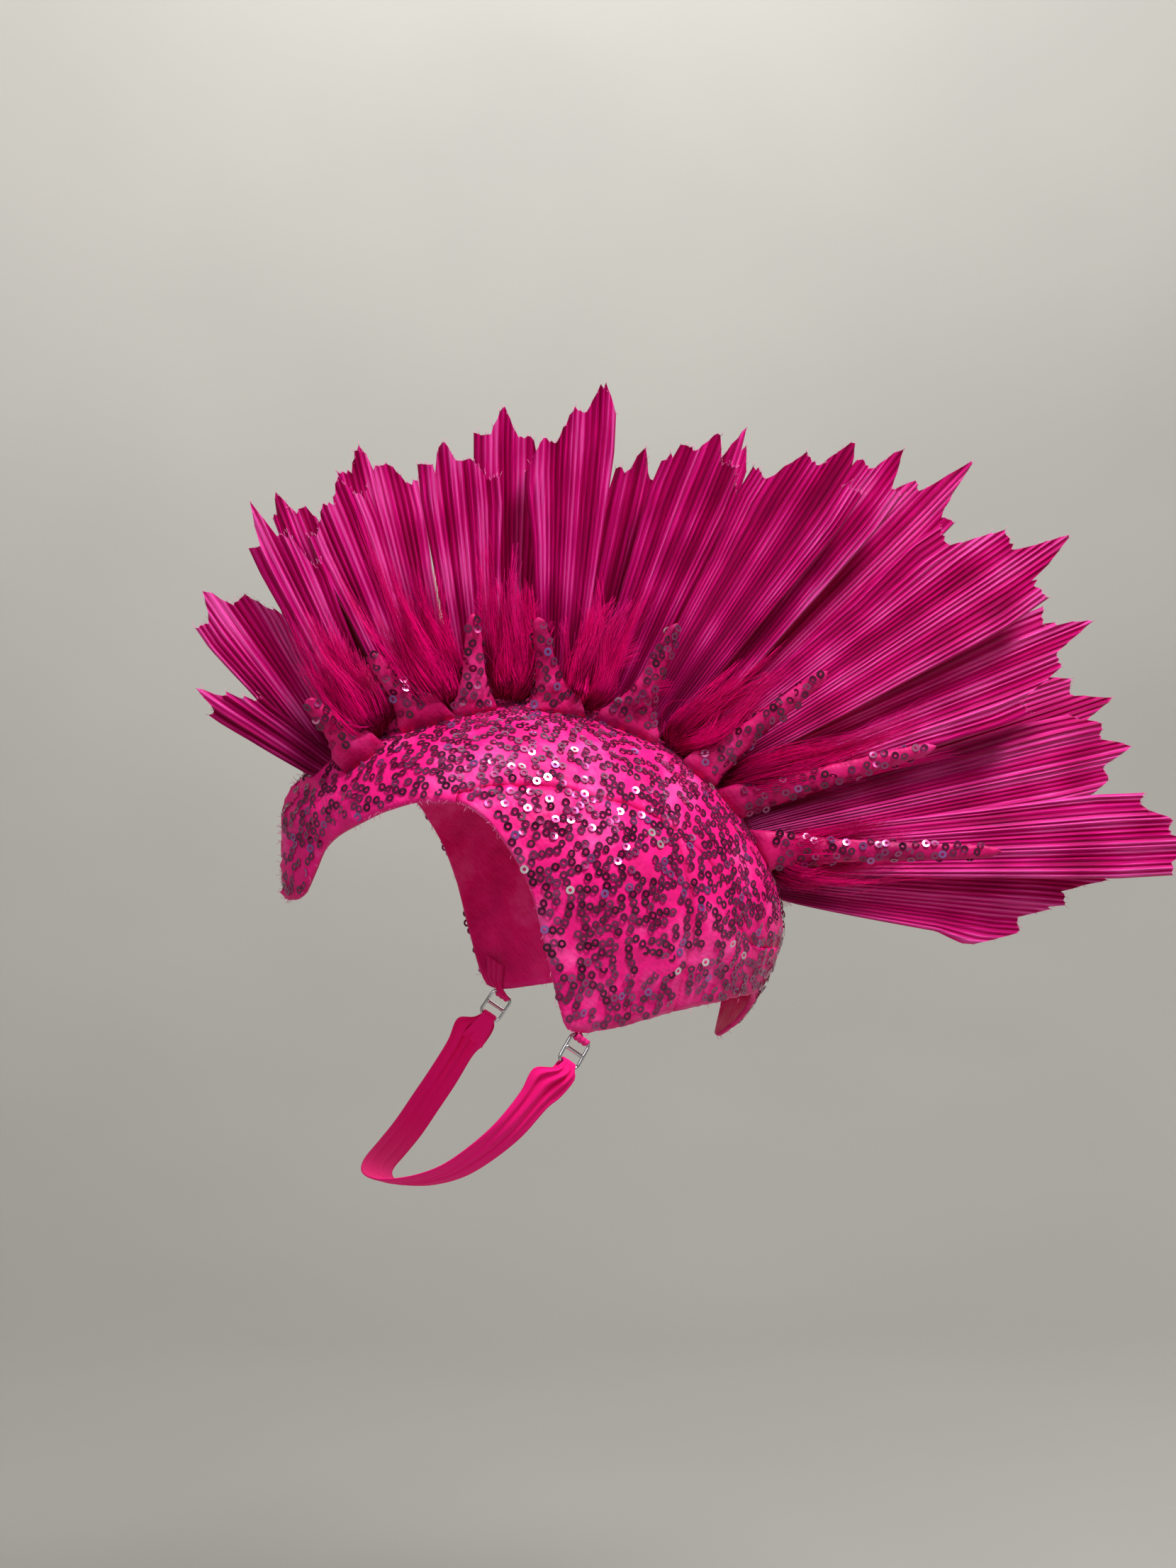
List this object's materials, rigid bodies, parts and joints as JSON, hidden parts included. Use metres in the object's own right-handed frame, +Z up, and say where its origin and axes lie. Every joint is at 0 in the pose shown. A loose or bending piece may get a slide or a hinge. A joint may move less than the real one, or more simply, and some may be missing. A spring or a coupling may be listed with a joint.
{
  "type": "sequin headpiece",
  "caption": "Close-fitting sequinned stage cap with a tall crest of pleated blades, padded cloth spikes, fluff tufts and a chin strap on wire slides.",
  "frame": {"origin": "point inside the crown that rests on the top of the wearer's head", "axes": "+Z up; the wearer faces -Y; the wearer's left is +X"},
  "size_m": [0.16, 0.4448, 0.3356],
  "materials": {
    "sequin_satin": "satin cloth with sewn cup sequins",
    "plain_satin": "folded satin",
    "pleated_satin": "heat-set pleats with cut edges",
    "marabou_fluff": "loose fine fluff",
    "slide_chrome": "bright plated wire",
    "strap_jersey": "matt stretch jersey"
  },
  "bodies": {
    "root": {"cap_crown": "sequin_satin", "cap_side_left": "sequin_satin", "cap_side_right": "sequin_satin", "cap_nape": "sequin_satin", "spike_left_1": "sequin_satin", "spike_left_2": "sequin_satin", "spike_left_3": "sequin_satin", "spike_left_4": "sequin_satin", "spike_left_5": "sequin_satin", "spike_left_6": "sequin_satin", "spike_left_7": "sequin_satin", "spike_left_8": "sequin_satin", "spike_right_1": "sequin_satin", "spike_right_2": "sequin_satin", "spike_right_3": "sequin_satin", "spike_right_4": "sequin_satin", "spike_right_5": "sequin_satin", "spike_right_6": "sequin_satin", "spike_right_7": "sequin_satin", "spike_right_8": "sequin_satin", "slide_tab_left": "plain_satin", "slide_tab_right": "plain_satin", "fan_01": "pleated_satin", "fan_02": "pleated_satin", "fan_03": "pleated_satin", "fan_04": "pleated_satin", "fan_05": "pleated_satin", "fan_06": "pleated_satin", "fan_07": "pleated_satin", "fan_08": "pleated_satin", "fan_09": "pleated_satin", "fan_10": "pleated_satin", "fan_11": "pleated_satin", "fan_12": "pleated_satin", "fan_13": "pleated_satin", "fan_14": "pleated_satin", "fan_15": "pleated_satin", "fan_16": "pleated_satin", "fan_17": "pleated_satin", "fan_18": "pleated_satin", "fan_19": "pleated_satin", "fan_20": "pleated_satin", "fan_21": "pleated_satin", "tuft_left_1": "marabou_fluff", "tuft_left_2": "marabou_fluff", "tuft_left_3": "marabou_fluff", "tuft_left_4": "marabou_fluff", "tuft_left_5": "marabou_fluff", "tuft_left_6": "marabou_fluff", "tuft_left_7": "marabou_fluff", "tuft_right_1": "marabou_fluff", "tuft_right_2": "marabou_fluff", "tuft_right_3": "marabou_fluff", "tuft_right_4": "marabou_fluff", "tuft_right_5": "marabou_fluff", "tuft_right_6": "marabou_fluff", "tuft_right_7": "marabou_fluff", "strap_slide_left": "slide_chrome", "strap_slide_right": "slide_chrome", "chin_strap": "strap_jersey"}
  },
  "joints": []
}
